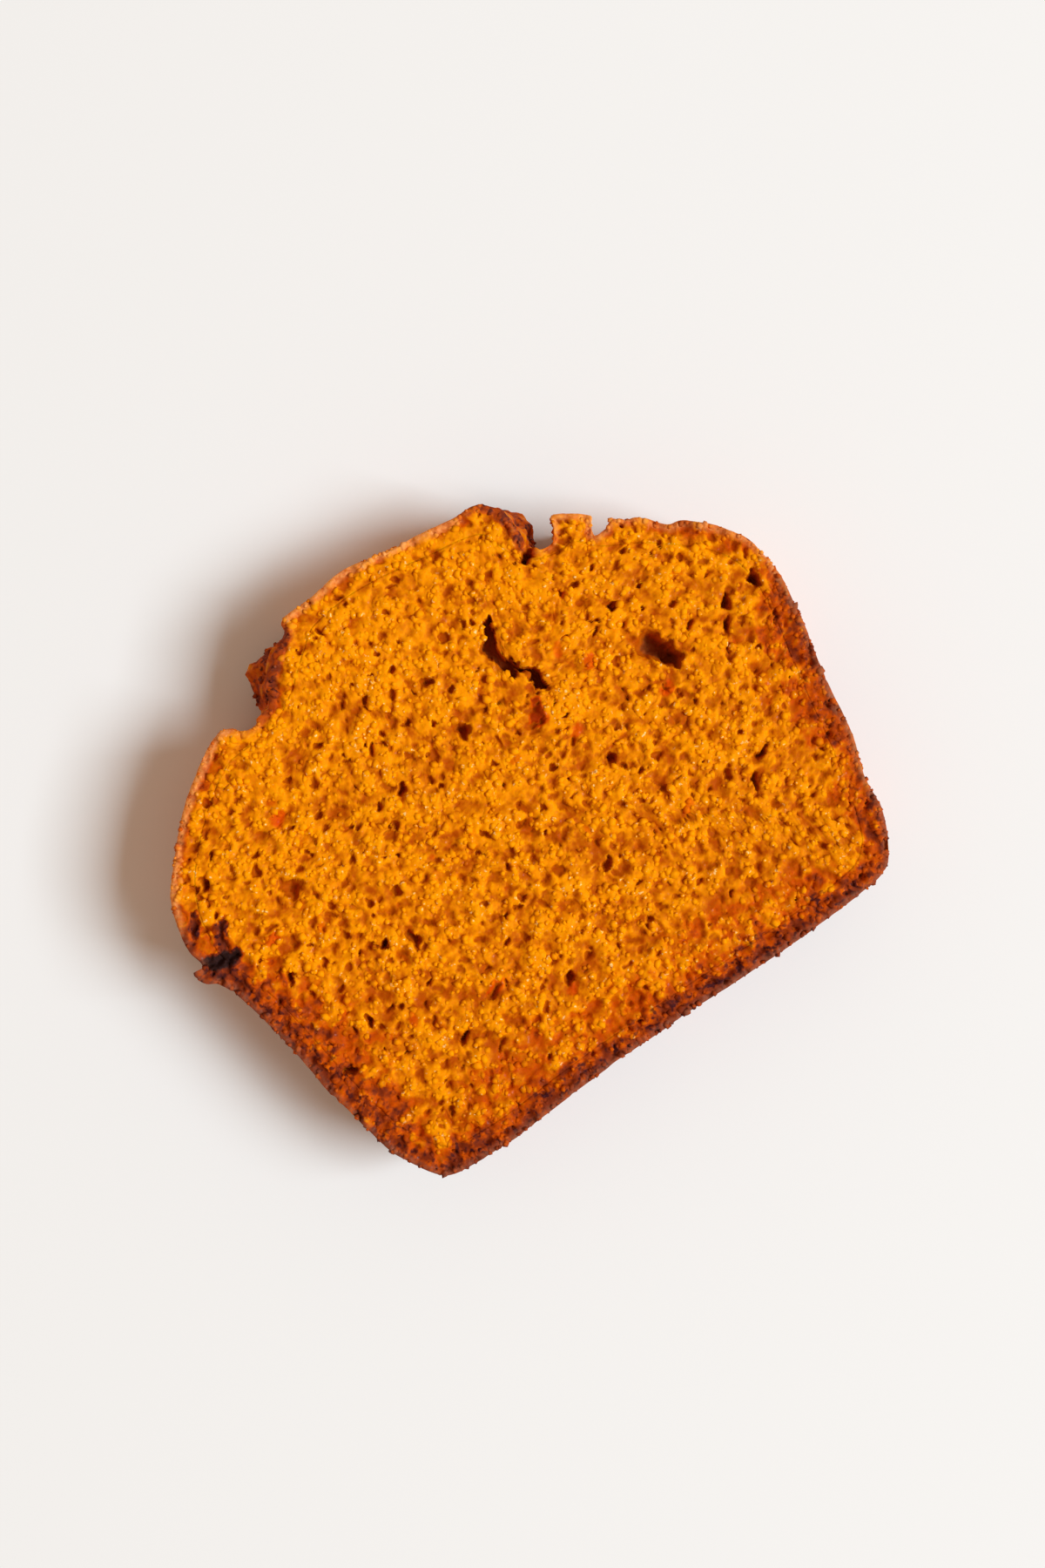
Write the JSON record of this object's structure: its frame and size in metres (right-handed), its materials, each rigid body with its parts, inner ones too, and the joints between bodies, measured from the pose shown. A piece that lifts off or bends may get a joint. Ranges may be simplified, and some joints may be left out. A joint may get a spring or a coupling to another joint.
{
  "type": "pumpkin bread slice",
  "caption": "Thick slice of pumpkin loaf lying on a cut face: flat base crust, flared pan sides, cracked domed top and open, porous crumb.",
  "frame": {"origin": "under the middle of the slice, on the plane that its lower cut face rests on", "axes": "+X along the loaf's flat base crust, +Y from the base crust up to the loaf's cracked top, +Z through the thickness of the slice"},
  "size_m": [0.1156, 0.0926, 0.0204],
  "materials": {
    "bread": "matte, porous crumb with a browned crust"
  },
  "bodies": {
    "root": {"pumpkin_bread_slice": "bread"}
  },
  "joints": []
}
